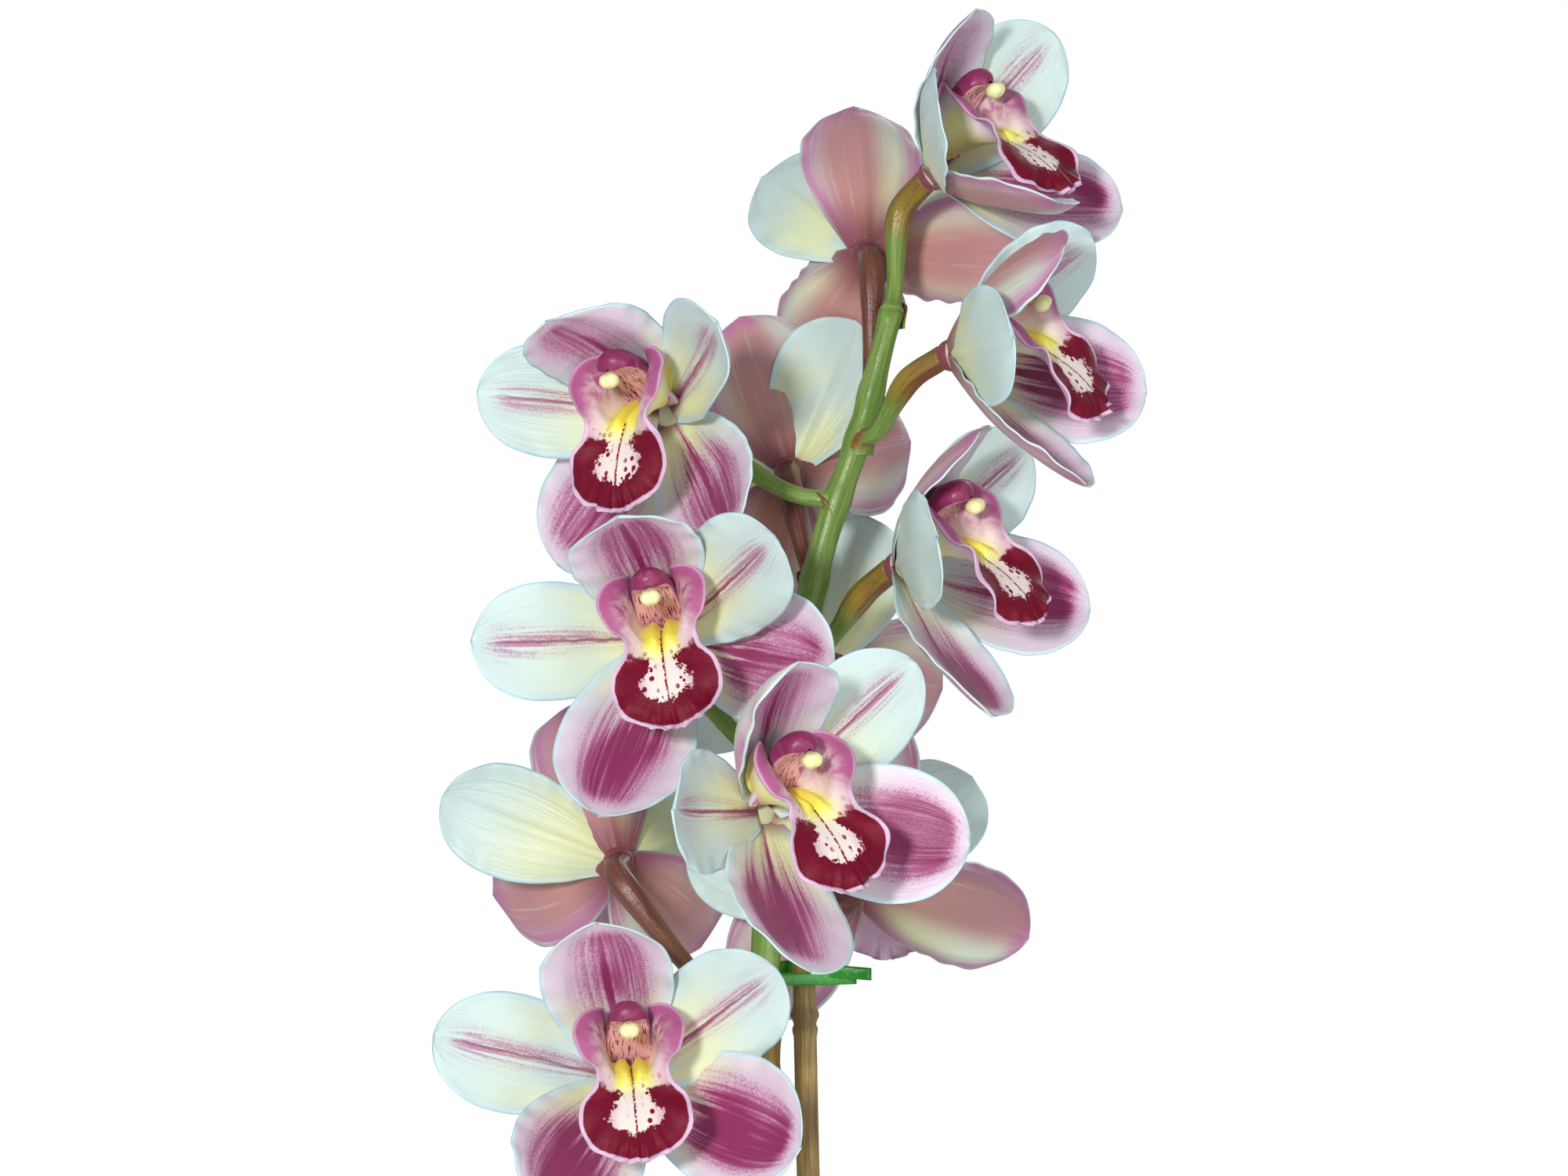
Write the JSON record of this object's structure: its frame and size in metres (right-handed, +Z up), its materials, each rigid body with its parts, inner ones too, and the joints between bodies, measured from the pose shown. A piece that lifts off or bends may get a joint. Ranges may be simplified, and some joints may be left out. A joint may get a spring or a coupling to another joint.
{
  "type": "potted orchid",
  "caption": "Potted orchid: a staked upright spike of white and pink flowers with dark red lips over arching strap leaves, in a plain tapered clay pot.",
  "frame": {"origin": "middle of the pot's base, on the surface that the pot stands on", "axes": "+Z up along the flower spike, -Y towards the side from which the plant is looked at, +X to its right"},
  "size_m": [0.5842, 0.5667, 0.7127],
  "materials": {
    "tepal": "waxy, softly sparkling, white with magenta streaks",
    "lip": "velvety crimson edge, white and yellow throat",
    "column": "waxy rose with a pale yellow cap",
    "stem": "satin green turning brown-red towards the flowers",
    "leaf": "satin green with fine lengthwise veins",
    "bulb": "satin green, ribbed",
    "sheath": "dry and papery",
    "bamboo": "dry straw-coloured cane with streaks",
    "tie": "smooth bright green strip",
    "terracotta": "matte fired clay",
    "bark": "rough bark chips"
  },
  "bodies": {
    "root": {"pot": "terracotta", "potting_mix": "bark", "flower_stem": "stem", "bamboo_stake": "bamboo", "tie_1": "tie", "tie_2": "tie", "pseudobulb_1": "bulb", "pseudobulb_2": "bulb", "pseudobulb_3": "bulb", "pseudobulb_4": "bulb", "leaf_1": "leaf", "leaf_2": "leaf", "leaf_3": "leaf", "leaf_4": "leaf", "leaf_5": "leaf", "leaf_6": "leaf", "leaf_7": "leaf", "leaf_8": "leaf", "leaf_9": "leaf", "sheath_1": "sheath", "sheath_2": "sheath", "sheath_3": "sheath", "flower_01_perianth": "tepal", "flower_01_lip": "lip", "flower_01_column": "column", "flower_02_perianth": "tepal", "flower_02_lip": "lip", "flower_02_column": "column", "flower_03_perianth": "tepal", "flower_03_lip": "lip", "flower_03_column": "column", "flower_04_perianth": "tepal", "flower_04_lip": "lip", "flower_04_column": "column", "flower_05_perianth": "tepal", "flower_05_lip": "lip", "flower_05_column": "column", "flower_06_perianth": "tepal", "flower_06_lip": "lip", "flower_06_column": "column", "flower_07_perianth": "tepal", "flower_07_lip": "lip", "flower_07_column": "column", "flower_08_perianth": "tepal", "flower_08_lip": "lip", "flower_08_column": "column", "flower_09_perianth": "tepal", "flower_09_lip": "lip", "flower_09_column": "column", "flower_10_perianth": "tepal", "flower_10_lip": "lip", "flower_10_column": "column", "flower_11_perianth": "tepal", "flower_11_lip": "lip", "flower_11_column": "column", "flower_12_perianth": "tepal", "flower_12_lip": "lip", "flower_12_column": "column"}
  },
  "joints": []
}
